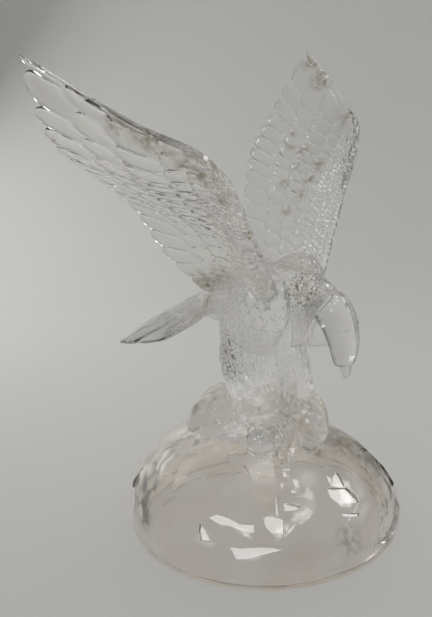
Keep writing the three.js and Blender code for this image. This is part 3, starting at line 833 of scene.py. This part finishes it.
def age_and_shade_group():
    """Film, stains and specks in old glass, and painted shade at the left wing's feather tips: colour,
    roughness and the height of fine plumage.
    """
    group = bpy.data.node_groups.new("age_and_shade", "ShaderNodeTree")
    for name, kind in (("Colour", "Color"), ("Roughness", "Float"), ("Height", "Float")):
        group.interface.new_socket(name, in_out="OUTPUT", socket_type="NodeSocket" + kind)
    out = group.nodes.new("NodeGroupOutput")
    place = node(group, "TexCoord").outputs["Object"]
    heights = node(group, "SeparateXYZ")
    group.links.new(place, heights.inputs[0])

    low_down = node(group, "MapRange", interpolation_type="SMOOTHSTEP")
    low_down.inputs["From Min"].default_value, low_down.inputs["From Max"].default_value = FILM_FADES
    group.links.new(heights.outputs["Z"], low_down.inputs["Value"])
    film = arithmetic(group, "MULTIPLY", low_down.outputs["Result"], noise(group, place, 48, 0.3, 0.68, 5))

    # Brown stains, and painted shade at the left wing's feather tips, tinted with the same brown
    stains_and_shade = 0.0
    for centre, radius, strength in STAINS_AND_GROOVE_SHADE:
        here = blob(group, place, centre, (radius, radius, radius), 0.2)
        stains_and_shade = arithmetic(group, "MAXIMUM", arithmetic(group, "MULTIPLY", here, strength), stains_and_shade)
    dirt_and_shade = arithmetic(group, "MULTIPLY", stains_and_shade, noise(group, place, 260, 0.4, 0.6, 5))
    dirt_and_shade = blobs(group, place, SPECKS, 0.6, dirt_and_shade)
    patchy = noise(group, place, 120, 0.15, 0.5, 4)
    veil = arithmetic(group, "MULTIPLY", blobs(group, place, VEILS, 0.4), patchy)
    grainy = noise(group, place, 620, 0.54, 0.6, 1)
    grains = arithmetic(group, "MULTIPLY", blobs(group, place, GRAINS, 0.3), grainy)
    film = arithmetic(group, "MAXIMUM", film, veil)
    filmed = tinted(group, grains, tinted(group, film, CLEAR, FILMED), SOOT)
    group.links.new(tinted(group, dirt_and_shade, filmed, GRIME_AND_SHADE), out.inputs["Colour"])

    rough = node(group, "MapRange")
    rough.inputs["To Min"].default_value, rough.inputs["To Max"].default_value = ROUGHNESS_RANGE
    radius = BASE_RADIUS - WALL
    inside = blob(group, place, tuple(BASE_CENTRE), (radius, radius, DOME_HEIGHT - CROWN), 1.01, 1.03)
    dusty = arithmetic(group, "MULTIPLY", inside, INNER_DUST)
    dull = arithmetic(group, "MAXIMUM", dusty, arithmetic(group, "MULTIPLY", veil, VEIL_DULLNESS))
    group.links.new(arithmetic(group, "MAXIMUM", dirt_and_shade, dull), rough.inputs["Value"])
    group.links.new(rough.outputs["Result"], out.inputs["Roughness"])

    downy = blob(group, place, PLUMAGE_CENTRE, PLUMAGE_RADII, 0.7, 1.15)
    hairs = noise(group, place, 650, 0.3, 0.7, 3, (1, 1, 0.35))
    group.links.new(arithmetic(group, "MULTIPLY", downy, hairs), out.inputs["Height"])
    return group


def crystal():
    material = bpy.data.materials.new("clear_crystal")
    material.use_nodes = True
    nodes, links = material.node_tree.nodes, material.node_tree.links
    glass = nodes["Principled BSDF"]
    glass.inputs["IOR"].default_value = CRYSTAL_INDEX
    glass.inputs["Transmission Weight"].default_value = 1
    age_and_shade = nodes.new("ShaderNodeGroup")
    age_and_shade.node_tree = age_and_shade_group()
    links.new(age_and_shade.outputs["Colour"], glass.inputs["Base Color"])
    links.new(age_and_shade.outputs["Roughness"], glass.inputs["Roughness"])
    relief = nodes.new("ShaderNodeBump")
    relief.inputs["Strength"].default_value = 1
    relief.inputs["Distance"].default_value = PLUMAGE_RELIEF
    links.new(age_and_shade.outputs["Height"], relief.inputs["Height"])
    links.new(relief.outputs["Normal"], glass.inputs["Normal"])
    clear = nodes.new("ShaderNodeBsdfTransparent")
    clear.inputs["Color"].default_value = (0.985, 0.98, 0.975, 1)
    path = nodes.new("ShaderNodeLightPath")
    blend = nodes.new("ShaderNodeMixShader")
    links.new(path.outputs["Is Shadow Ray"], blend.inputs[0])
    links.new(glass.outputs[0], blend.inputs[1])
    links.new(clear.outputs[0], blend.inputs[2])
    links.new(blend.outputs[0], nodes["Material Output"].inputs["Surface"])
    return material


casting.data.materials.clear()
casting.data.materials.append(crystal())
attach(casting, "root")
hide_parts("crystal_eagle")

# Camera, at the photograph's angle
CAMERA_PLACE = Vector((-0.3565, -0.2208, 0.2579)) + BASE_CENTRE
CAMERA_RIGHT = Vector((0.56295, -0.82560, -0.03836))
CAMERA_UP = Vector((0.27501, 0.14334, 0.95070))
CAMERA_BACK = Vector((-0.77940, -0.54574, 0.30774))
IMAGE_LONG_SIDE = 617
FOCAL_PIXELS = 824

camera = bpy.data.objects.new("camera", bpy.data.cameras.new("camera"))
bpy.context.scene.collection.objects.link(camera)
camera.matrix_world = Matrix.Translation(CAMERA_PLACE) @ Matrix(
    (CAMERA_RIGHT, CAMERA_UP, CAMERA_BACK)).transposed().to_4x4()
camera.data.lens = FOCAL_PIXELS / IMAGE_LONG_SIDE * camera.data.sensor_width
bpy.context.scene.camera = camera

# Sweep: a floor that runs up into a wall behind the eagle
VIEW_TURN = math.atan2(-CAMERA_BACK.y, -CAMERA_BACK.x)
SWEEP_NEAR = -1.2
SWEEP_FAR = 0.75
SWEEP_BEND = 0.35
SWEEP_HEIGHT = 1.6
SWEEP_HALF_WIDTH = 1.8
SWEEP_GAP = 0.0003


def make_sweep():
    sweep = start(bpy.ops.mesh.primitive_grid_add, x_subdivisions=60, y_subdivisions=4, size=2)
    sweep.name = "sweep"
    places = vertex_places(sweep)
    flat = SWEEP_FAR - SWEEP_BEND - SWEEP_NEAR
    arc = SWEEP_BEND * math.pi / 2
    reach = (places[:, 0] + 1) / 2 * (flat + arc + SWEEP_HEIGHT - SWEEP_BEND)
    bent = np.clip((reach - flat) / SWEEP_BEND, 0, math.pi / 2)
    ahead = SWEEP_NEAR + np.minimum(reach, flat) + SWEEP_BEND * np.sin(bent)
    up = SWEEP_BEND * (1 - np.cos(bent)) + np.maximum(reach - flat - arc, 0)
    aside = places[:, 1] * SWEEP_HALF_WIDTH
    x = math.cos(VIEW_TURN) * ahead - math.sin(VIEW_TURN) * aside
    y = math.sin(VIEW_TURN) * ahead + math.cos(VIEW_TURN) * aside
    put_vertices(sweep, np.stack([x, y, up - SWEEP_GAP], axis=1) + list(BASE_CENTRE))
    bpy.ops.object.shade_smooth()
    material = bpy.data.materials.new("pale_sweep")
    material.use_nodes = True
    paper = material.node_tree.nodes["Principled BSDF"]
    paper.inputs["Base Color"].default_value = (0.66, 0.655, 0.63, 1)
    paper.inputs["Roughness"].default_value = 0.85
    sweep.data.materials.append(material)


make_sweep()


# Lights
WINDOWS = [
    (48.7, 79.3), (-37.2, 67.5), (-92.3, 60.4), (-30.7, 37.2), (-44.9, 34.2), (-175.0, 47.2), (-129.6, 49.9),
    (163.7, 22.5), (-156.4, 17.8), (-59.1, 23.2),
]
WINDOW_SIZE = 0.19
WINDOW_DISTANCE = 1.1
WINDOW_WATTS = 0.86
LOW_WINDOW = 30
AIM_HEIGHT = 0.08
FILL_PLACE = (0.111, 0.491, 0.346)
FILL_AIM = (0.247, 0.014, 0)
FILL_SIZE = 0.5
FILL_WATTS = 1.05
ROOM_LIGHT = 0.5
DARK_SIDE = (-0.78, -0.55, -0.3)
DARK_LIGHT = 0.11
SWEEP_LIGHT = 0.03


def softbox(name, place, aim, size, watts):
    """A square soft light at a place over the base's centre, aimed at another."""
    data = bpy.data.lights.new(name, "AREA")
    data.shape = "RECTANGLE"
    data.size = data.size_y = size
    data.energy = watts
    light = bpy.data.objects.new(name, data)
    bpy.context.scene.collection.objects.link(light)
    light.location = BASE_CENTRE + place
    light.rotation_euler = (aim - place).to_track_quat("-Z", "Y").to_euler()
    return light


# Windows at a turn and a rise above the floor, in degrees; the low ones show in reflections only
for number, (turn, rise) in enumerate(WINDOWS):
    level = math.cos(math.radians(rise))
    way = Vector((math.cos(math.radians(turn)) * level, math.sin(math.radians(turn)) * level,
                  math.sin(math.radians(rise))))
    middle = Vector((0, 0, AIM_HEIGHT))
    window = softbox(f"window_{number}", middle + way * WINDOW_DISTANCE, middle, WINDOW_SIZE, WINDOW_WATTS)
    window.visible_transmission = rise > LOW_WINDOW
fill = softbox("fill", Vector(FILL_PLACE), Vector(FILL_AIM), FILL_SIZE, FILL_WATTS)
fill.data.cycles.use_multiple_importance_sampling = False

# A room that glass shows, and that hardly lights the sweep
world = bpy.data.worlds.new("studio")
bpy.context.scene.world = world
world.use_nodes = True
world.cycles.sampling_method = "NONE"
room = world.node_tree
surround = room.nodes["Background"]
surround.inputs["Color"].default_value = (0.8, 0.8, 0.79, 1)
toward = node(room, "VectorMath", operation="DOT_PRODUCT")
toward.inputs[1].default_value = DARK_SIDE
room.links.new(node(room, "TexCoord").outputs["Generated"], toward.inputs[0])
shade = node(room, "MapRange", interpolation_type="SMOOTHSTEP")
for name, value in (("From Min", 0.2), ("From Max", 0.9), ("To Min", ROOM_LIGHT), ("To Max", DARK_LIGHT)):
    shade.inputs[name].default_value = value
room.links.new(toward.outputs["Value"], shade.inputs["Value"])
dim = node(room, "MapRange")
dim.inputs["To Max"].default_value = SWEEP_LIGHT
room.links.new(node(room, "LightPath").outputs["Is Diffuse Ray"], dim.inputs["Value"])
room.links.new(shade.outputs["Result"], dim.inputs["To Min"])
room.links.new(dim.outputs["Result"], surround.inputs["Strength"])

scene = bpy.context.scene
scene.view_settings.view_transform = "Standard"
scene.cycles.max_bounces = 20
scene.cycles.transmission_bounces = 18
scene.cycles.glossy_bounces = 8
scene.cycles.transparent_max_bounces = 16
scene.cycles.caustics_refractive = False
scene.cycles.caustics_reflective = False
scene.cycles.use_denoising = True
